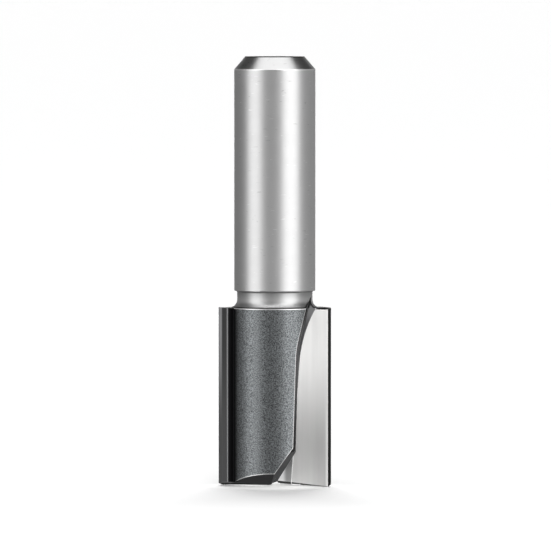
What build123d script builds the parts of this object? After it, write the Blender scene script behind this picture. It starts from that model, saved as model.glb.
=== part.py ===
"""Straight router bit with two brazed carbide cutting tips.

Frame: millimetres, +Z up along the tool's axis. The origin is on the axis, level with
the two cutting corners at the lower end. The long cutting edges stand on +X and -X.
Seen from the shank end the bit turns clockwise.

The cutting form is drawn once, for the tip on +X, and turned half a turn for the other.
It is drawn on the rake face, whose own directions are: outward along the face from
the cutting edge, up, and forward out of the face into the gullet.
"""
import os
from math import cos, radians, sin, sqrt, tan

from build123d import *

# Overall sizes
cutting_diameter = 18.0
cutting_length = 28.0
overall_length = 67.3

# Shank
shank_diameter = 12.7
shank_end_diameter = 9.3
shank_chamfer_height = 2.0
edge_break = 0.15

# Neck groove between shank and core
neck_diameter = 11.8
neck_groove_radius = 1.3
neck_length = 2.62
shoulder_radius = 0.25

# Core, the round middle that carries the two wings
core_diameter = 13.9
wing_foot_radius = 0.5

# Rake face and carbide tip
hook_angle = 13.0
gullet_depth = 5.95
tip_thickness = 2.3
tip_foot_depth = 1.15
tip_top_slope = 6.0
seat_run_out_length = 9.0
seat_run_out_offset = 0.45
seat_run_out_radius = 18.5

# Flats behind the long cutting edge: angles from the tangent at the edge, and widths
tip_relief_angle = 10.0
land_angle = 38.0
land_width = 2.3
heel_land_angle = 49.0
heel_land_width = 1.75
heel_angle = 79.0
heel_width = 0.55
wing_back_angle = 123.0

# Gullet in front of the rake face
gullet_angle = 58.0
gullet_foot_depth = 0.45
gullet_lean = 2.0
gullet_ramp = 15.5
gullet_ramp_length = 7.9
gullet_ramp_radius = 14.0
gullet_exit_length = 0.6
gullet_exit_radius = 5.5

# Gash that opens the end of the gullet as far as the axis
gash_angle = 64.0
gash_lean = 37.0
gash_past_axis = 1.4

# Relief on the end of the tool, behind the short cutting edges
end_dish = 1.5
end_relief = 9.0
second_relief = 18.5
second_relief_tilt = 12.5

# Values that follow from those above
cutting_radius = cutting_diameter / 2
shank_radius = shank_diameter / 2
core_radius = core_diameter / 2
groove_centre_radius = neck_diameter / 2 + neck_groove_radius
groove_centre_height = cutting_length + sqrt(
    neck_groove_radius**2 - (groove_centre_radius - core_radius) ** 2
)
shank_start = cutting_length + neck_length
past = cutting_diameter
over = 1.0

outward = Vector(cos(radians(hook_angle)), -sin(radians(hook_angle)), 0)
forward = Vector(-sin(radians(hook_angle)), -cos(radians(hook_angle)), 0)
rake_face = Plane(origin=(cutting_radius, 0, 0), x_dir=outward, z_dir=forward)


def step(start, angle, length):
    """The point reached from start by going length at an angle leaning back from +Y."""
    return (
        start[0] - length * sin(radians(angle)),
        start[1] + length * cos(radians(angle)),
    )


def both(tool):
    """The tool in place for the tip on +X, and again half a turn round the axis."""
    return [tool, Rot(0, 0, 180) * tool]


def make_section():
    """Cross-section of the cutting end: round core with two relieved wings."""
    corner = (cutting_radius, 0)
    tip_back = tip_thickness / cos(radians(tip_relief_angle - hook_angle))
    land_start = step(corner, tip_relief_angle, tip_back)
    heel_land_start = step(land_start, land_angle, land_width)
    heel_start = step(heel_land_start, heel_land_angle, heel_land_width)
    heel = step(heel_start, heel_angle, heel_width)
    wing_back = step(heel, wing_back_angle, heel[0] / 2)
    outline = [corner, land_start, heel_land_start, heel_start, heel, wing_back, (0, 0)]
    wing = make_face(Polyline(*outline, close=True))
    section = Sketch() + [Circle(core_radius)] + both(wing)
    rim = section.vertices().filter_by(
        lambda v: abs(Vector(v.X, v.Y).length - core_radius) < 1e-4
    )
    feet = [rim.sort_by_distance(Vector(*heel) * side)[0] for side in (1, -1)]
    return fillet(feet, wing_foot_radius)


def make_shank():
    """Turned shank and neck groove, down to the top of the core."""
    chamfer_start = overall_length - shank_chamfer_height
    neck_start = (neck_diameter / 2, groove_centre_height)
    neck_end = (neck_diameter / 2, shank_start)
    profile = Sketch() + make_face(
        [
            Line((0, cutting_length), (core_radius, cutting_length)),
            TangentArc(neck_start, (core_radius, cutting_length), tangent=(0, -1)),
            Polyline(
                neck_start,
                neck_end,
                (shank_radius, shank_start),
                (shank_radius, chamfer_start),
                (shank_end_diameter / 2, overall_length),
                (0, overall_length),
                (0, cutting_length),
            ),
        ]
    )
    corners = [
        (neck_end, shoulder_radius),
        ((shank_radius, shank_start), edge_break),
        ((shank_radius, chamfer_start), edge_break),
        ((shank_end_diameter / 2, overall_length), edge_break),
    ]
    for corner, radius in corners:
        vertex = profile.vertices().sort_by_distance(Vector(*corner))[0]
        profile = fillet(vertex, radius)
    return revolve(Plane.XZ * profile, Axis.Z)


def make_seat():
    """Seat of a tip, cut along the rake face by a cutter that runs out above the tip."""
    foot = (-gullet_depth - tip_foot_depth, 0)
    bend = (-gullet_depth + seat_run_out_offset, cutting_length - seat_run_out_length)
    lean = Vector(bend[0] - foot[0], bend[1])
    sine = lean.X / lean.length
    rise = seat_run_out_length + over
    top_sine = sine + rise / seat_run_out_radius
    turned = sqrt(1 - sine**2) - sqrt(1 - top_sine**2)
    top = (bend[0] + seat_run_out_radius * turned, cutting_length + over)
    outline = make_face(
        [
            Line(foot, bend),
            TangentArc(bend, top, tangent=lean),
            Polyline(top, (over, top[1]), (over, 0), foot),
        ]
    )
    return extrude(rake_face * outline, amount=-tip_thickness)


def make_gullet():
    """V gullet with the rake face for one side, leaning out of the tool above the tips."""
    lean = radians(gullet_lean)
    ramp = radians(gullet_ramp)
    start = (-gullet_depth - gullet_foot_depth - over * tan(lean), -over)
    bend_height = cutting_length - gullet_ramp_length
    bend = (start[0] + (bend_height + over) * tan(lean), bend_height)
    ramp_start = (
        bend[0] + gullet_ramp_radius * (cos(lean) - cos(ramp)),
        bend[1] + gullet_ramp_radius * (sin(ramp) - sin(lean)),
    )
    end_height = cutting_length + gullet_exit_length
    ramp_end = (ramp_start[0] + (end_height - ramp_start[1]) * tan(ramp), end_height)
    exit_angle = radians(60)
    way_out = (
        ramp_end[0] + gullet_exit_radius * (cos(ramp) - cos(exit_angle)),
        ramp_end[1] + gullet_exit_radius * (sin(exit_angle) - sin(ramp)),
    )
    outline = make_face(
        [
            Line(start, bend),
            TangentArc(bend, ramp_start, tangent=(sin(lean), cos(lean))),
            Line(ramp_start, ramp_end),
            TangentArc(ramp_end, way_out, tangent=(sin(ramp), cos(ramp))),
            Polyline(way_out, (over, way_out[1]), (over, -over), start),
        ]
    )
    wall = outward * cos(radians(gullet_angle)) + forward * sin(radians(gullet_angle))
    return extrude(rake_face * outline, amount=past, dir=wall)


def make_gash():
    """V cut that clears the end from the rake face inward, a little past the axis."""
    slope = tan(radians(gash_lean))
    floor = -cutting_radius * cos(radians(hook_angle)) - gash_past_axis
    height = -floor / slope
    outline = make_face(
        Polyline(
            (floor - over * slope, -over),
            (floor + height * slope, height),
            (over, height),
            (over, -over),
            close=True,
        )
    )
    wall = outward * cos(radians(gash_angle)) + forward * sin(radians(gash_angle))
    return extrude(rake_face * outline, amount=past, dir=wall)


def make_tip_top():
    """Space above a tip, whose top falls towards the rake face."""
    slope = tan(radians(tip_top_slope))
    point = Vector(cutting_radius, 0, cutting_length - tip_thickness * slope)
    up = Vector(0, 0, 1) + forward * slope
    slab = Plane(origin=point, x_dir=outward, z_dir=up)
    return slab * Box(4 * past, 4 * past, past, align=(Align.CENTER, Align.CENTER, Align.MIN))


def below(point, inward_slope, back_slope):
    """Half of the space under a plane that rises inward and behind the rake face."""
    up = Vector(0, 0, 1) + outward * inward_slope + forward * back_slope
    slab = Plane(origin=point, x_dir=outward.cross(up).cross(up), z_dir=up)
    slab = slab * Box(4 * past, 4 * past, past, align=(Align.CENTER, Align.CENTER, Align.MAX))
    half = Box(4 * past, 2 * past, 4 * past, align=(Align.CENTER, Align.MIN, Align.CENTER))
    return slab & half


def make_end_relief():
    """The two ground planes behind a short cutting edge, as one cutter."""
    corner = Vector(cutting_radius, 0, 0)
    dish = tan(radians(end_dish))
    relief = tan(radians(end_relief))
    first = below(corner, dish, relief)
    inner = gullet_depth + tip_foot_depth
    anchor = corner - outward * inner - forward * tip_thickness
    anchor += Vector(0, 0, inner * dish + tip_thickness * relief)
    second = below(anchor, tan(radians(second_relief_tilt)), tan(radians(second_relief)))
    return first + second


blank = extrude(make_section(), amount=cutting_length)
seat = make_seat()
relief = make_end_relief()

body = blank + make_shank()
for tool in (make_gullet(), make_gash(), relief, seat):
    body -= both(tool)

tip = (seat & blank) - relief - make_tip_top()
parts = {
    "body": body,
    "cutting_tip_1": tip,
    "cutting_tip_2": Rot(0, 0, 180) * tip,
}

os.makedirs("parts", exist_ok=True)
for name, shape in parts.items():
    solids = shape.solids()
    assert len(solids) == 1, f"{name} came out as {len(solids)} solids"
    solid = solids[0]
    solid.label = name
    export_step(solid, f"parts/{name}.step")
    print(name, round(solid.volume, 1), solid.bounding_box())
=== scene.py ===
"""Look of the straight router bit: finishes for its steel body and carbide tips, and a
pale stage with soft light and the photograph's camera."""
import math
from types import SimpleNamespace

import bpy
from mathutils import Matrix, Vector


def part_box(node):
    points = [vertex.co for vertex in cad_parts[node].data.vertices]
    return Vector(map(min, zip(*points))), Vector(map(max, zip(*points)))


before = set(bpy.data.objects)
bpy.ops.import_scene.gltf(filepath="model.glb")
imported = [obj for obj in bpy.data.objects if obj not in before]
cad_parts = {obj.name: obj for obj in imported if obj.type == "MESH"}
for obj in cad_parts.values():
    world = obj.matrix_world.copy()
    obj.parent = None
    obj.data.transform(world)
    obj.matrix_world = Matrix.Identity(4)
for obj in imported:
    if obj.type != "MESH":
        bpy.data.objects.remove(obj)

bl_info = {
    "name": "Straight Router Bit",
    "version": (1, 0, 0),
    "blender": (4, 5, 0),
    "location": "View3D > Sidebar > Router Bit",
    "description": "Finishes a straight router bit and sets its stage",
    "category": "Object",
}

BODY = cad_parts["body"]
TIPS = [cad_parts["cutting_tip_1"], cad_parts["cutting_tip_2"]]
MM = 0.001
BLACK = (0.0, 0.0, 0.0)
DARK = (0.02, 0.02, 0.02)

# Cutting form: the rake plane's own directions, and lines on it that rise as they go
HOOK_ANGLE = math.radians(13.0)
FORWARD = (math.sin(HOOK_ANGLE), math.cos(HOOK_ANGLE), 0.0)
OUTWARD = (math.cos(HOOK_ANGLE), -math.sin(HOOK_ANGLE), 0.0)
RAKE_OFFSET = 9.0 * MM * math.sin(HOOK_ANGLE)
SHORT_EDGE_SLOPE = 0.0585
SHORT_EDGE_HEIGHT = 0.64 * MM
GULLET_RAMP_SLOPE = 0.2773
GULLET_RAMP_FOOT = -2.70 * MM

# Picture: its width, and where the tool's axis and lower end lie in it, in pixels
PICTURE_SIZE = 551.0
AXIS_COLUMN = 274.8
LOWER_END_ROW = 485.8

# Width of the camera's sensor in millimetres
SENSOR_WIDTH = 36.0


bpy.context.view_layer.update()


# Sizes and colours that a user would change


class SteelSettings(bpy.types.PropertyGroup):
    ground_color: bpy.props.FloatVectorProperty(
        name="Ground Steel",
        description="Colour of the ground shank and neck",
        default=(0.60, 0.60, 0.60),
        min=0.0,
        max=1.0,
        subtype="COLOR",
    )
    blasted_color: bpy.props.FloatVectorProperty(
        name="Blasted Core",
        description="Colour of the matt blasted core between the wings",
        default=(0.200, 0.211, 0.217),
        min=0.0,
        max=1.0,
        subtype="COLOR",
    )
    fluted_color: bpy.props.FloatVectorProperty(
        name="Fluted Steel",
        description="Colour of the milled wings, gullets and end",
        default=(0.25, 0.25, 0.255),
        min=0.0,
        max=1.0,
        subtype="COLOR",
    )
    gash_color: bpy.props.FloatVectorProperty(
        name="Gash Steel",
        description="Colour of the freshly ground gash beside each tip",
        default=(0.95, 0.95, 0.95),
        min=0.0,
        max=1.0,
        subtype="COLOR",
    )
    # Painted highlight: colour of the bright lines along the edges
    highlight_color: bpy.props.FloatVectorProperty(
        name="Highlight Colour",
        description="Colour of the painted highlights along the edges",
        default=(0.95, 0.95, 0.95),
        min=0.0,
        max=1.0,
        subtype="COLOR",
    )
    core_radius: bpy.props.FloatProperty(
        name="Core Radius",
        description="Radius of the blasted core",
        default=6.95 * MM,
        unit="LENGTH",
    )
    core_height: bpy.props.FloatProperty(
        name="Core Height",
        description="Height of the core and the wings above the cutting corners",
        default=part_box("cutting_tip_1")[1].z,
        unit="LENGTH",
    )
    rake_offset: bpy.props.FloatProperty(
        name="Rake Offset",
        description="Distance of each rake face's plane from the axis",
        default=RAKE_OFFSET,
        unit="LENGTH",
    )
    gash_height: bpy.props.FloatProperty(
        name="Gash Height",
        description="Height of the gash above the cutting corners",
        default=5.5 * MM,
        unit="LENGTH",
    )
    # The dark line along the short edge is painted shade
    short_edge_height: bpy.props.FloatProperty(
        name="Short Edge Height",
        description="Height of the dark line along a short cutting edge, carried on to the axis",
        default=SHORT_EDGE_HEIGHT,
        unit="LENGTH",
    )
    # The land's painted light stops at this turn, short of the land's real back
    land_end: bpy.props.FloatProperty(
        name="Land End",
        description="Turn from a cutting edge to the back of the land behind its tip",
        default=math.radians(27.5),
        subtype="ANGLE",
        unit="ROTATION",
    )
    heel_land_end: bpy.props.FloatProperty(
        name="Heel Land End",
        description="Turn from a cutting edge to the back of its heel land",
        default=math.radians(41.7),
        subtype="ANGLE",
        unit="ROTATION",
    )
    # The bright line along the heel is a painted highlight
    heel_edge: bpy.props.FloatProperty(
        name="Heel Edge",
        description="Turn from a cutting edge to the bright line along its heel",
        default=math.radians(40.4),
        subtype="ANGLE",
        unit="ROTATION",
    )
    foot_angle: bpy.props.FloatProperty(
        name="Wing Foot Angle",
        description="Turn from a cutting edge to the hollow behind its wing",
        default=math.radians(47.0),
        subtype="ANGLE",
        unit="ROTATION",
    )
    run_out_angle: bpy.props.FloatProperty(
        name="Run-Out Angle",
        description="Turn from a cutting edge to the left side of the gullet's run-out in the neck",
        default=math.radians(166.0),
        subtype="ANGLE",
        unit="ROTATION",
    )
    groove_radius: bpy.props.FloatProperty(
        name="Groove Radius",
        description="Radius of the arc at the foot of the neck",
        default=1.3 * MM,
        unit="LENGTH",
    )
    groove_centre: bpy.props.FloatProperty(
        name="Groove Centre",
        description="Distance of that arc's centre from the axis",
        default=7.2 * MM,
        unit="LENGTH",
    )
    groove_height: bpy.props.FloatProperty(
        name="Groove Height",
        description="Height of that arc's centre above the cutting corners",
        default=29.276 * MM,
        unit="LENGTH",
    )
    chamfer_height: bpy.props.FloatProperty(
        name="Chamfer Height",
        description="Height of the corner between the shank and its chamfer",
        default=65.3 * MM,
        unit="LENGTH",
    )
    # Painted highlight: width of the bright lines along the edges
    edge_width: bpy.props.FloatProperty(
        name="Highlight Width",
        description="Width of the painted highlights along the edges",
        default=0.14 * MM,
        unit="LENGTH",
    )


class CarbideSettings(bpy.types.PropertyGroup):
    color: bpy.props.FloatVectorProperty(
        name="Carbide",
        description="Colour of the finely ground carbide",
        default=(0.90, 0.895, 0.885),
        min=0.0,
        max=1.0,
        subtype="COLOR",
    )
    flank_color: bpy.props.FloatVectorProperty(
        name="Carbide Flank",
        description="Colour of the darker flanks and ends of the carbide",
        default=(0.02, 0.02, 0.02),
        min=0.0,
        max=1.0,
        subtype="COLOR",
    )
    rake_offset: bpy.props.FloatProperty(
        name="Rake Offset",
        description="Distance of each rake face's plane from the axis",
        default=RAKE_OFFSET,
        unit="LENGTH",
    )
    # The dark line along the short edge is painted shade
    short_edge_height: bpy.props.FloatProperty(
        name="Short Edge Height",
        description="Height of the dark line along a short cutting edge, carried on to the axis",
        default=SHORT_EDGE_HEIGHT,
        unit="LENGTH",
    )
    # Painted highlight: width of the bright line along the tips' edges
    edge_width: bpy.props.FloatProperty(
        name="Highlight Width",
        description="Width of the bright line along the tips' edges",
        default=0.06 * MM,
        unit="LENGTH",
    )


class StageSettings(bpy.types.PropertyGroup):
    floor_color: bpy.props.FloatVectorProperty(
        name="Floor",
        description="Colour of the plain floor",
        default=(0.95, 0.95, 0.95),
        min=0.0,
        max=1.0,
        subtype="COLOR",
    )
    azimuth: bpy.props.FloatProperty(
        name="Camera Azimuth",
        description="Turn of the camera round the axis from the front",
        default=math.radians(23.0),
        subtype="ANGLE",
        unit="ROTATION",
    )
    elevation: bpy.props.FloatProperty(
        name="Camera Elevation",
        description="Height of the camera as an angle above the horizon",
        default=math.radians(2.2),
        subtype="ANGLE",
        unit="ROTATION",
    )
    distance: bpy.props.FloatProperty(
        name="Camera Distance",
        description="Distance from the camera to the tool's axis",
        default=1.2,
        unit="LENGTH",
    )
    pixels_per_mm: bpy.props.FloatProperty(
        name="Pixels per Millimetre",
        description="Scale of the picture at the tool's axis",
        default=6.378,
    )


# Shader nodes


class Graph:
    """Adds nodes to a shader tree, row by row, and links what they are given."""

    def __init__(self, tree):
        self.tree = tree
        self.count = 0

    def put(self, kind, *values, **settings):
        made = self.tree.nodes.new(kind)
        made.location = (self.count % 12 * 220 - 1300, 600 - self.count // 12 * 260)
        self.count += 1
        for name, value in settings.items():
            setattr(made, name, value)
        for index, value in enumerate(values):
            self.feed(made.inputs[index], value)
        return made

    def feed(self, socket, value):
        if isinstance(value, bpy.types.NodeSocket):
            self.tree.links.new(value, socket)
        elif value is not None:
            socket.default_value = value

    def math(self, operation, *values, clamp=False):
        return self.put("ShaderNodeMath", *values, operation=operation, use_clamp=clamp).outputs[0]

    def times(self, first, *others):
        for other in others:
            first = self.math("MULTIPLY", first, other)
        return first

    def most(self, first, *others):
        for other in others:
            first = self.math("MAXIMUM", first, other)
        return first

    def less(self, first, *others):
        for other in others:
            first = self.math("SUBTRACT", first, other, clamp=True)
        return first

    def below(self, value, limit):
        return self.math("LESS_THAN", value, limit)

    def beyond(self, value, limit):
        return self.math("GREATER_THAN", value, limit)

    def near(self, value, target, margin):
        return self.math("COMPARE", value, target, margin)

    def ramp(self, value, start, end, first=0.0, last=1.0):
        ramp = self.put("ShaderNodeMapRange", value, start, end, first, last)
        ramp.interpolation_type = "SMOOTHSTEP"
        return ramp.outputs[0]

    def mix(self, factor, first, second):
        made = self.put("ShaderNodeMix", factor, data_type="FLOAT")
        self.feed(made.inputs[2], first)
        self.feed(made.inputs[3], second)
        return made.outputs[0]

    def blend(self, factor, first, second):
        made = self.put("ShaderNodeMix", factor, data_type="RGBA")
        for socket, color in ((made.inputs[6], first), (made.inputs[7], second)):
            if not isinstance(color, bpy.types.NodeSocket):
                color = (*color, 1.0)
            self.feed(socket, color)
        return made.outputs[2]

    def noise(self, vector, scale, detail=2.0, roughness=0.5):
        made = self.put("ShaderNodeTexNoise", vector)
        made.inputs["Scale"].default_value = scale
        made.inputs["Detail"].default_value = detail
        made.inputs["Roughness"].default_value = roughness
        return made.outputs["Fac"]

    def scaled(self, vector, scale):
        made = self.put("ShaderNodeVectorMath", vector, scale, operation="MULTIPLY")
        return made.outputs[0]

    def along(self, vector, direction):
        made = self.put("ShaderNodeVectorMath", vector, direction, operation="DOT_PRODUCT")
        return made.outputs["Value"]

    def group(self, name, **inputs):
        made = self.put("ShaderNodeGroup", node_tree=bpy.data.node_groups[name])
        for label, value in inputs.items():
            self.feed(made.inputs[label], value)
        return made


def new_group(name, inputs, outputs):
    """An empty shader node group with those sockets, with its graph and end nodes."""
    tree = bpy.data.node_groups.new(name, "ShaderNodeTree")
    for label, kind, default in inputs:
        socket = tree.interface.new_socket(label, in_out="INPUT", socket_type=kind)
        if default is not None:
            socket.default_value = default
    for label in outputs:
        tree.interface.new_socket(label, in_out="OUTPUT", socket_type="NodeSocketFloat")
    graph = Graph(tree)
    return graph, graph.put("NodeGroupInput"), graph.put("NodeGroupOutput")


def make_edge_group():
    """Mask of the narrow band along the edges, where painted highlights go."""
    graph, start, end = new_group(
        "Painted Edge Highlights",
        [("Width", "NodeSocketFloat", 0.0001), ("Sharpness", "NodeSocketFloat", 30.0)],
        ["Mask"],
    )
    bevel = graph.put("ShaderNodeBevel", start.outputs["Width"], samples=12)
    surface = graph.put("ShaderNodeNewGeometry")
    same = graph.put("ShaderNodeVectorMath", bevel.outputs[0], surface.outputs["Normal"])
    same.operation = "DOT_PRODUCT"
    turned = graph.math("SUBTRACT", 1.0, same.outputs["Value"], clamp=True)
    sharp = graph.math("MULTIPLY", turned, start.outputs["Sharpness"], clamp=True)
    graph.feed(end.inputs["Mask"], sharp)


def make_grain_group():
    """Fine parallel marks of a grinding wheel, and a mask of the broader streaks."""
    graph, start, end = new_group(
        "Grinding Marks",
        [
            ("Vector", "NodeSocketVector", None),
            ("Across", "NodeSocketFloat", 6000.0),
            ("Streaks", "NodeSocketFloat", 300.0),
        ],
        ["Height", "Mask"],
    )
    fine = graph.noise(start.outputs["Vector"], 1.0, 3.0, 0.6)
    graph.feed(fine.node.inputs["Scale"], start.outputs["Across"])
    broad = graph.noise(start.outputs["Vector"], 1.0)
    graph.feed(broad.node.inputs["Scale"], start.outputs["Streaks"])
    graph.feed(end.inputs["Height"], fine)
    graph.feed(end.inputs["Mask"], broad)


# Materials


def new_material(name):
    material = bpy.data.materials.new(name)
    material.use_nodes = True
    tree = material.node_tree
    tree.nodes.clear()
    graph = Graph(tree)
    surface = graph.put("ShaderNodeBsdfPrincipled", location=(1600, 0))
    output = graph.put("ShaderNodeOutputMaterial", location=(1900, 0))
    tree.links.new(surface.outputs["BSDF"], output.inputs["Surface"])
    return material, graph, surface


def add_bump(graph, surface, relief, strength, distance):
    bump = graph.put("ShaderNodeBump")
    bump.inputs["Strength"].default_value = strength
    bump.inputs["Distance"].default_value = distance
    graph.feed(bump.inputs["Height"], relief)
    graph.feed(surface.inputs["Normal"], bump.outputs["Normal"])


def faded(color, share):
    return tuple(channel * share for channel in color)


def rake_places(graph, here, offset):
    """Mask of the two rake planes, and the way out along them from beside the axis."""
    ahead = graph.along(here, FORWARD)
    rake = graph.near(graph.math("ABSOLUTE", ahead), offset, 0.03 * MM)
    side = graph.math("SIGN", ahead)
    return rake, graph.times(graph.along(here, OUTWARD), side)


def short_edge_strip(graph, height, out, limit):
    """Mask of the strip along the short cutting edges, which rise towards the axis."""
    rising = graph.math("MULTIPLY_ADD", out, SHORT_EDGE_SLOPE, height)
    return graph.below(rising, limit)


def gullet_depth(graph, settings, under, height, radius):
    """Depth under the core's surface, and above the core under the arc of the neck's foot."""
    rise = graph.math("SUBTRACT", height, settings.groove_height)
    rise = graph.math("MINIMUM", rise, 0.0)
    drop = graph.math("SUBTRACT", settings.groove_radius**2, graph.times(rise, rise))
    bulge = graph.math("SQRT", graph.most(drop, 0.0))
    neck = graph.math("SUBTRACT", settings.groove_centre, bulge)
    skin = graph.mix(under, neck, settings.core_radius)
    return graph.math("SUBTRACT", skin, radius)


def find_places(graph, settings):
    """Where a point lies on the body, and masks of the places that differ in finish or get painted
    light and shade.
    """
    coordinates = graph.put("ShaderNodeTexCoord")
    here = coordinates.outputs["Object"]
    parts = graph.put("ShaderNodeSeparateXYZ", here)
    height = parts.outputs["Z"]
    flat = graph.scaled(here, (1.0, 1.0, 0.0))
    radius = graph.put("ShaderNodeVectorMath", flat, operation="LENGTH").outputs["Value"]
    turn = graph.math("ARCTAN2", parts.outputs["Y"], parts.outputs["X"])
    angle = graph.math("FLOORED_MODULO", turn, math.pi)
    facing = graph.put("ShaderNodeSeparateXYZ", coordinates.outputs["Normal"]).outputs["Z"]

    # Core, and the lands and the hollow behind each tip
    core_radius = settings.core_radius
    under = graph.below(height, settings.core_height + 0.01 * MM)
    core = graph.times(graph.near(radius, core_radius, 0.05 * MM), under)
    outer = graph.times(graph.beyond(radius, core_radius - 0.3 * MM), under)
    heel_land_end, foot_angle = settings.heel_land_end, settings.foot_angle
    behind = graph.ramp(angle, heel_land_end, heel_land_end + math.radians(1.5))
    hollow = graph.ramp(angle, foot_angle, foot_angle + math.radians(13), 1.0, 0.0)

    # Rake planes, gullet walls and the end
    rake, out = rake_places(graph, here, settings.rake_offset)
    fluted_part = graph.below(height, settings.groove_height + settings.groove_radius)
    rake = graph.times(rake, graph.beyond(out, -1.6 * MM), fluted_part)
    low = graph.below(height, settings.gash_height)
    inner = graph.below(radius, core_radius - 0.06 * MM)

    # Run-out of the gullets in the neck groove, and the neck beside it, which get painted shade
    depth = gullet_depth(graph, settings, under, height, radius)
    groove = graph.near(height, settings.groove_height, settings.groove_radius)
    run_out = graph.times(graph.beyond(depth, 0.05 * MM), groove)
    beside = graph.times(
        graph.near(angle, settings.run_out_angle, math.radians(9)),
        graph.near(height, settings.groove_height - 0.2 * MM, 0.95 * MM),
    )
    return SimpleNamespace(
        here=here,
        height=height,
        radius=radius,
        out=out,
        core=core,
        milled=graph.most(under, run_out),
        land=graph.times(graph.below(angle, settings.land_end), outer),
        heel_land=graph.times(graph.below(angle, heel_land_end), outer),
        heel_edge=graph.times(graph.near(angle, settings.heel_edge, math.radians(1.0)), outer),
        shaded_recess=graph.times(behind, hollow, outer),
        rake=rake,
        gash=graph.times(rake, low),
        wall=graph.times(inner, graph.math("SUBTRACT", 1.0, rake), under),
        end=graph.times(graph.below(facing, -0.5), low),
        shallow_shade=graph.times(graph.ramp(depth, 0.15 * MM, 0.6 * MM, 1.0, 0.0), rake, groove),
        shaded_rim=graph.most(run_out, beside),
    )


def fluted_steel(graph, settings, place):
    """Colour of the milled and ground steel below the neck, apart from the core."""
    color = settings.fluted_color
    height, out = place.height, place.out

    # Rake plane above the tip, with painted shade along the corner of the gullet
    exit_share = graph.ramp(height, 25.0 * MM, 27.3 * MM)
    above_tip = graph.blend(exit_share, faded(color, 0.5), faded(color, 1.15))
    past_corner = graph.math("MULTIPLY_ADD", height, -GULLET_RAMP_SLOPE, out)
    corner = graph.below(past_corner, GULLET_RAMP_FOOT)
    corner = graph.times(corner, graph.ramp(height, 24.2 * MM, 26 * MM))
    above_tip = graph.blend(corner, above_tip, faded(color, 0.15))
    fluted = graph.blend(place.rake, color, above_tip)

    # Gullet walls and the relief on the end
    wall_share = graph.ramp(height, 5 * MM, 22 * MM)
    wall_color = graph.blend(wall_share, faded(color, 0.08), faded(color, 0.42))
    wall_top = graph.ramp(height, 25.2 * MM, 26.8 * MM)
    wall_color = graph.blend(wall_top, wall_color, faded(color, 0.1))
    fluted = graph.blend(place.wall, fluted, wall_color)
    fluted = graph.blend(place.end, fluted, faded(color, 0.5))

    # Gash, brightest at its foot, with painted shade as a dark line along the short edge
    gash_share = graph.times(
        graph.ramp(out, -0.1 * MM, 0.9 * MM, 1.0, 0.35),
        graph.ramp(height, 1.5 * MM, 4.8 * MM, 0.78, 0.32),
    )
    fluted = graph.blend(place.gash, fluted, graph.blend(gash_share, BLACK, settings.gash_color))
    strip = short_edge_strip(graph, height, out, settings.short_edge_height)
    fluted = graph.blend(graph.times(strip, place.gash), fluted, DARK)

    # The two lands behind each tip, with painted light that makes the land paler towards the top
    # and painted shade that makes the heel land darker there
    top_share = graph.ramp(height, 8 * MM, 25 * MM)
    shaded_heel_color = graph.blend(top_share, faded(color, 0.95), faded(color, 0.55))
    fluted = graph.blend(place.heel_land, fluted, shaded_heel_color)
    lit_land_color = graph.blend(top_share, faded(color, 0.7), faded(color, 3.3))
    return graph.blend(place.land, fluted, lit_land_color)


def ground_steel(graph, settings, place):
    """Colour of the ground shank and neck: short dashes, and a shade under the shoulder."""
    color = settings.ground_color
    dashes = graph.noise(graph.scaled(place.here, (0.2, 0.2, 1.0)), 3600.0)
    ground = graph.blend(graph.ramp(dashes, 0.69, 0.74), color, faded(color, 1.25))
    ground = graph.blend(graph.ramp(dashes, 0.31, 0.26), ground, faded(color, 0.75))
    shoulder = settings.groove_height + 1.34 * MM
    in_neck = graph.below(place.height, shoulder)
    shade = graph.ramp(place.height, shoulder - 1.45 * MM, shoulder - 0.1 * MM)
    return graph.blend(graph.times(in_neck, shade), ground, faded(color, 0.66))


def with_shade_and_highlights(graph, settings, place, base):
    """That colour with painted shade in creases and hollows, and painted highlights along the
    edges, drawn over it.
    """
    height = place.height
    # Painted shade: a dark line in the crease at the foot of the neck
    foot_of_neck = graph.near(height, settings.core_height + 0.17 * MM, 0.13 * MM)
    crease_shade = graph.times(foot_of_neck, graph.beyond(place.radius, settings.core_radius - 0.45 * MM))
    base = graph.blend(crease_shade, base, (0.05, 0.05, 0.05))
    crown = graph.beyond(height, settings.chamfer_height + 1.88 * MM)
    base = graph.blend(crown, base, (0.12, 0.12, 0.12))

    # The band along the edges is wider at the core's end and where the painted shade falls
    core_end = graph.times(graph.below(height, 3 * MM), place.core, 0.2)
    wide = graph.most(place.shaded_rim, core_end)
    width = graph.mix(wide, settings.edge_width, 5 * settings.edge_width)
    edges = graph.group("Painted Edge Highlights", Width=width).outputs["Mask"]
    # Painted shade: the band along the edges where the gullets run out into the neck, and the rake
    # where it runs into the groove, are painted dark
    dark = graph.most(graph.times(edges, place.shaded_rim), place.shallow_shade)
    base = graph.blend(dark, base, DARK)
    # The rest of the band along the edges gets a painted highlight, weaker off the core
    edges = graph.times(edges, graph.mix(place.core, 0.2, 1.0))
    edges = graph.less(edges, place.shaded_rim, crease_shade, place.shaded_recess)

    # Painted highlights: a line round the core's top edge, a line round the shank at the chamfer
    # and a line along each heel
    rim_highlight = graph.times(graph.near(height, settings.core_height - 0.05 * MM, 0.06 * MM), place.core)
    ring_highlight = graph.near(height, settings.chamfer_height, 0.1 * MM)
    heel_highlight = graph.times(place.heel_edge, graph.ramp(height, 1 * MM, 25 * MM, 0.0, 0.36))
    return graph.blend(graph.most(edges, rim_highlight, heel_highlight, ring_highlight), base, settings.highlight_color)


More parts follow.
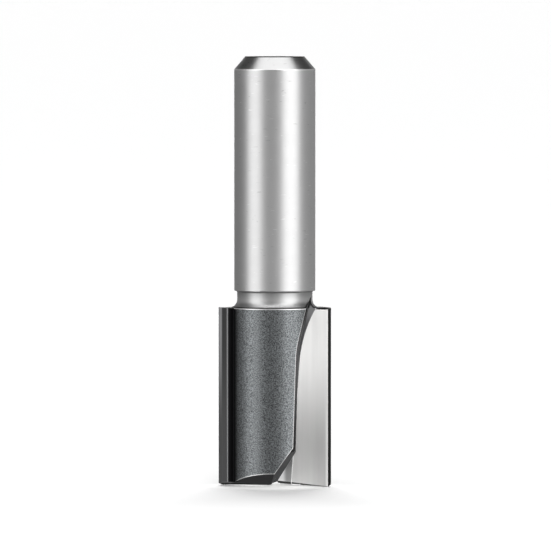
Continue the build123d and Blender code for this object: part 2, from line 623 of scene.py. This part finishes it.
def make_steel(settings):
    """Steel of the body: ground, blasted or milled by the place on the tool."""
    material, graph, surface = new_material("Router Bit Steel")
    place = find_places(graph, settings)

    # Colour
    fluted = fluted_steel(graph, settings, place)
    ground = ground_steel(graph, settings, place)
    speckle = graph.noise(place.here, 6200.0, 1.0, 0.5)
    spots = graph.ramp(speckle, 0.28, 0.72)
    blasted = settings.blasted_color
    grit = graph.blend(spots, faded(blasted, 0.37), faded(blasted, 1.43))
    base = graph.blend(place.milled, ground, fluted)
    base = graph.blend(place.core, base, grit)
    # Painted shade: the hollow behind each wing is painted almost black
    base = graph.blend(place.shaded_recess, base, (0.006, 0.006, 0.0065))
    graph.feed(surface.inputs["Base Color"], with_shade_and_highlights(graph, settings, place, base))
    metal = graph.mix(place.gash, graph.mix(place.rake, 1.0, 0.55), 0.35)
    graph.feed(surface.inputs["Metallic"], metal)

    # Finish
    ring_scale = graph.scaled(place.here, (0.04, 0.04, 1.0))
    rings = graph.group("Grinding Marks", Vector=ring_scale, Across=9000.0, Streaks=1500.0)
    satin = graph.mix(rings.outputs["Mask"], 0.34, 0.44)
    chamfer = graph.beyond(place.height, settings.chamfer_height + 0.1 * MM)
    satin = graph.mix(chamfer, satin, 0.28)
    satin = graph.mix(place.wall, satin, 0.8)
    graph.feed(surface.inputs["Roughness"], graph.mix(place.core, satin, 0.41))
    relief = graph.mix(place.core, rings.outputs["Height"], speckle)
    add_bump(graph, surface, relief, 0.3, 0.02 * MM)
    return material


def make_carbide(settings):
    """Carbide of the tips, with rake faces ground along their length."""
    material, graph, surface = new_material("Ground Carbide")
    coordinates = graph.put("ShaderNodeTexCoord")
    here = coordinates.outputs["Object"]
    height = graph.put("ShaderNodeSeparateXYZ", here).outputs["Z"]
    facing = graph.put("ShaderNodeSeparateXYZ", coordinates.outputs["Normal"]).outputs["Z"]
    rake, out = rake_places(graph, here, settings.rake_offset)
    long_scale = graph.scaled(here, (1.0, 1.0, 0.05))
    grain = graph.group("Grinding Marks", Vector=long_scale, Across=5200.0, Streaks=900.0)

    # Rake faces: painted light that makes them paler above, painted shade that darkens them
    # outward, and a brighter line along the lower part of the cutting edge
    top_light = graph.ramp(height, 5 * MM, 22 * MM, 0.47, 1.0)
    outward_shade = graph.ramp(out, 3 * MM, 8.8 * MM, 1.0, 0.68)
    tone = graph.times(graph.mix(grain.outputs["Mask"], 0.84, 1.08), top_light, outward_shade)
    bright_line = graph.ramp(height, 15 * MM, 8 * MM, 0.0, 0.15)
    bright_line = graph.times(graph.beyond(out, 8.35 * MM), bright_line)
    tone = graph.math("ADD", tone, bright_line, clamp=True)
    face = graph.blend(tone, BLACK, settings.color)

    # Flanks, and the top that pales outward
    flank_color = settings.flank_color
    flank = graph.blend(graph.ramp(height, 2 * MM, 12 * MM), faded(flank_color, 0.3), flank_color)
    pale_top = graph.blend(graph.ramp(out, 7.4 * MM, 8.8 * MM), flank_color, (0.5, 0.5, 0.5))
    flank = graph.blend(graph.beyond(facing, 0.9), flank, pale_top)
    base = graph.blend(rake, flank, face)

    # Painted shade as a dark strip along the short edge, and painted highlights along the edges,
    # wider round the foot in the gash
    strip = short_edge_strip(graph, height, out, settings.short_edge_height)
    base = graph.blend(graph.times(strip, rake), base, DARK)
    foot = graph.times(graph.below(out, 3.5 * MM), graph.below(height, 6 * MM))
    width = graph.mix(foot, settings.edge_width, 3 * settings.edge_width)
    edges = graph.group("Painted Edge Highlights", Width=width).outputs["Mask"]
    color = graph.blend(graph.times(edges, rake), base, (0.95, 0.95, 0.94))
    graph.feed(surface.inputs["Base Color"], color)

    # Finish
    ground = graph.mix(grain.outputs["Mask"], 0.38, 0.48)
    graph.feed(surface.inputs["Roughness"], graph.mix(rake, 0.7, ground))
    graph.feed(surface.inputs["Metallic"], graph.mix(rake, 1.0, 0.2))
    add_bump(graph, surface, grain.outputs["Height"], 0.25, 0.01 * MM)
    return material


def give(piece, material):
    for slot in piece.material_slots:
        slot.material = material


# Stage


def look_at(thing, target):
    away = thing.location - Vector(target)
    thing.rotation_mode = "QUATERNION"
    thing.rotation_quaternion = away.to_track_quat("Z", "Y")


def add_softbox(name, power, size, middle, turn=0.0, lift=0.0, distance=0.5):
    """A rectangular lamp at that turn from the camera, facing the tool.

    It is seen in what the metal mirrors and casts no light on matt surfaces.
    """
    settings = bpy.context.scene.router_stage
    angle = settings.azimuth + math.radians(turn)
    rise = math.radians(lift)
    bpy.ops.object.light_add(type="AREA")
    lamp = bpy.context.object
    lamp.name = name
    lamp.location = (
        distance * math.cos(rise) * math.sin(angle),
        -distance * math.cos(rise) * math.cos(angle),
        middle + distance * math.sin(rise),
    )
    look_at(lamp, (0, 0, middle))
    lamp.data.shape = "RECTANGLE"
    lamp.data.size, lamp.data.size_y = size
    lamp.data.energy = power
    lamp.visible_diffuse = False
    return lamp


def add_front_light():
    """A lamp beside the camera for the matt surfaces alone."""
    lamp = add_softbox("front_softbox", 27.0, (0.5, 0.5), 0.02, turn=4, lift=5, distance=1.5)
    lamp.visible_diffuse = True
    lamp.visible_glossy = False


def add_back_light():
    """A broad light from above and behind, which lays the soft shadow in front of the tool."""
    angle = bpy.context.scene.router_stage.azimuth
    bpy.ops.object.light_add(type="SUN")
    lamp = bpy.context.object
    lamp.name = "back_light"
    lamp.location = (-math.sin(angle), math.cos(angle), 0.95)
    look_at(lamp, (0, 0, 0))
    lamp.data.angle = math.radians(40)
    lamp.data.energy = 2.55
    lamp.visible_glossy = False


def make_floor_material(color):
    """Plain matt floor, not seen from below, that glows a little close to the tool.

    The glow stands in for light that the tool keeps from the floor right under it.
    """
    material, graph, surface = new_material("Stage Floor")
    surface.inputs["Base Color"].default_value = (*color, 1.0)
    surface.inputs["Roughness"].default_value = 0.9
    surface.inputs["Specular IOR Level"].default_value = 0.0
    behind = graph.put("ShaderNodeNewGeometry").outputs["Backfacing"]
    graph.feed(surface.inputs["Alpha"], graph.math("SUBTRACT", 1.0, behind))
    here = graph.put("ShaderNodeTexCoord").outputs["Object"]
    away = graph.put("ShaderNodeVectorMath", here, operation="LENGTH").outputs["Value"]
    lifted = graph.ramp(away, 4 * MM, 12 * MM, 1.0, 0.0)
    glow = graph.blend(lifted, BLACK, (0.38, 0.38, 0.375))
    graph.feed(surface.inputs["Emission Color"], glow)
    surface.inputs["Emission Strength"].default_value = 1.0
    return material


def make_world():
    """White to the camera, a bright room to matt surfaces, a dim one to what mirrors it."""
    world = bpy.data.worlds.new("Studio")
    bpy.context.scene.world = world
    world.use_nodes = True
    world.node_tree.nodes.clear()
    graph = Graph(world.node_tree)
    direction = graph.put("ShaderNodeTexCoord").outputs["Generated"]
    rise = graph.put("ShaderNodeSeparateXYZ", direction).outputs["Z"]
    angle = bpy.context.scene.router_stage.azimuth
    right = graph.along(direction, (math.cos(angle), math.sin(angle), 0.0))
    front = graph.along(direction, (math.sin(angle), -math.cos(angle), 0.0))

    # Matt surfaces get their light from the camera's side
    room = graph.ramp(front, -0.4, 0.6, 0.09, 1.0)

    # The mirrored room is grey at the horizon, paler to the right and in front
    horizon = graph.math(
        "ADD", graph.ramp(right, -0.9, 0.9, 0.21, 0.36), graph.ramp(front, 0.5, 1.0, 0.0, 0.05)
    )
    above = graph.ramp(rise, 0.15, 0.5, horizon, 0.04)
    below = graph.ramp(rise, -0.6, -0.3, 0.05, horizon)

    # High up in front it is bright, and most so to the right
    high = graph.times(
        graph.ramp(rise, 0.5, 0.75),
        graph.ramp(front, 0.25, 0.5),
        graph.ramp(right, -0.3, 0.35, 0.2, 1.1),
    )
    mirrored = graph.math("ADD", graph.math("MINIMUM", above, below), high)

    path = graph.put("ShaderNodeLightPath")
    light = graph.mix(path.outputs["Is Glossy Ray"], room, mirrored)
    light = graph.mix(path.outputs["Is Camera Ray"], light, 0.9)
    background = graph.put("ShaderNodeBackground", light)
    output = graph.put("ShaderNodeOutputWorld")
    graph.feed(output.inputs["Surface"], background.outputs[0])


def add_camera(settings):
    """The photograph's camera, aimed so that the tool's axis and end lie as they do in it."""
    bpy.ops.object.camera_add()
    camera = bpy.context.object
    camera.name = "Photograph Camera"
    back = Vector(
        (
            math.sin(settings.azimuth) * math.cos(settings.elevation),
            -math.cos(settings.azimuth) * math.cos(settings.elevation),
            math.sin(settings.elevation),
        )
    )
    right = Vector((math.cos(settings.azimuth), math.sin(settings.azimuth), 0.0))
    up = back.cross(right)
    scale = settings.pixels_per_mm / MM
    middle = (PICTURE_SIZE / 2 - AXIS_COLUMN) / scale
    rise = (LOWER_END_ROW - PICTURE_SIZE / 2) / scale
    camera.location = right * middle + up * rise + back * settings.distance
    camera.rotation_mode = "QUATERNION"
    camera.rotation_quaternion = back.to_track_quat("Z", "Y")
    camera.data.sensor_width = SENSOR_WIDTH
    camera.data.lens = SENSOR_WIDTH * settings.distance * scale / PICTURE_SIZE
    camera.data.clip_start = 0.01
    camera.data.clip_end = 100.0
    bpy.context.scene.camera = camera


# Operators


class ROUTERBIT_OT_finish_body(bpy.types.Operator):
    """Give the steel body its ground, blasted and milled finishes"""

    bl_idname = "routerbit.finish_body"
    bl_label = "Finish Body"

    def execute(self, context):
        give(BODY, make_steel(context.scene.router_steel))
        return {"FINISHED"}


class ROUTERBIT_OT_finish_tips(bpy.types.Operator):
    """Give the two carbide tips their finely ground finish"""

    bl_idname = "routerbit.finish_tips"
    bl_label = "Finish Tips"

    def execute(self, context):
        carbide = make_carbide(context.scene.router_carbide)
        for tip in TIPS:
            give(tip, carbide)
        return {"FINISHED"}


class ROUTERBIT_OT_set_stage(bpy.types.Operator):
    """Add the floor, the soft lamps and the camera"""

    bl_idname = "routerbit.set_stage"
    bl_label = "Set Stage"

    def execute(self, context):
        settings = context.scene.router_stage
        bpy.ops.object.select_all(action="DESELECT")
        bpy.ops.mesh.primitive_plane_add(size=60.0, location=(0, 0, 0))
        floor = context.object
        floor.name = "stage_floor"
        floor.data.materials.append(make_floor_material(settings.floor_color))
        floor.visible_glossy = False
        floor.visible_shadow = False
        make_world()
        add_softbox("right_softbox", 2.05, (0.44, 0.9), 0.20, turn=46.5)
        add_softbox("left_softbox", 1.6, (0.38, 0.9), 0.20, turn=-59.5)
        add_softbox("top_softbox", 1.03, (0.70, 0.3), 0.06, lift=84)
        add_front_light()
        add_back_light()
        add_camera(settings)
        context.scene.view_settings.view_transform = "Standard"
        return {"FINISHED"}


class ROUTERBIT_PT_panel(bpy.types.Panel):
    """Lists the steps that finish the router bit"""

    bl_idname = "ROUTERBIT_PT_panel"
    bl_label = "Router Bit"
    bl_space_type = "VIEW_3D"
    bl_region_type = "UI"
    bl_category = "Router Bit"

    def draw(self, context):
        layout = self.layout
        for settings in ("router_steel", "router_carbide", "router_stage"):
            group = getattr(context.scene, settings)
            box = layout.box()
            for name in group.__annotations__:
                box.prop(group, name)
        for operator in OPERATORS:
            layout.operator(operator.bl_idname)


OPERATORS = (ROUTERBIT_OT_finish_body, ROUTERBIT_OT_finish_tips, ROUTERBIT_OT_set_stage)
CLASSES = (SteelSettings, CarbideSettings, StageSettings, *OPERATORS, ROUTERBIT_PT_panel)


def register():
    for cls in CLASSES:
        bpy.utils.register_class(cls)
    bpy.types.Scene.router_steel = bpy.props.PointerProperty(type=SteelSettings)
    bpy.types.Scene.router_carbide = bpy.props.PointerProperty(type=CarbideSettings)
    bpy.types.Scene.router_stage = bpy.props.PointerProperty(type=StageSettings)


def unregister():
    del bpy.types.Scene.router_stage
    del bpy.types.Scene.router_carbide
    del bpy.types.Scene.router_steel
    for cls in reversed(CLASSES):
        bpy.utils.unregister_class(cls)


def main():
    register()
    make_edge_group()
    make_grain_group()
    bpy.ops.routerbit.finish_body()
    bpy.ops.routerbit.finish_tips()
    bpy.ops.routerbit.set_stage()


if __name__ == "__main__":
    main()
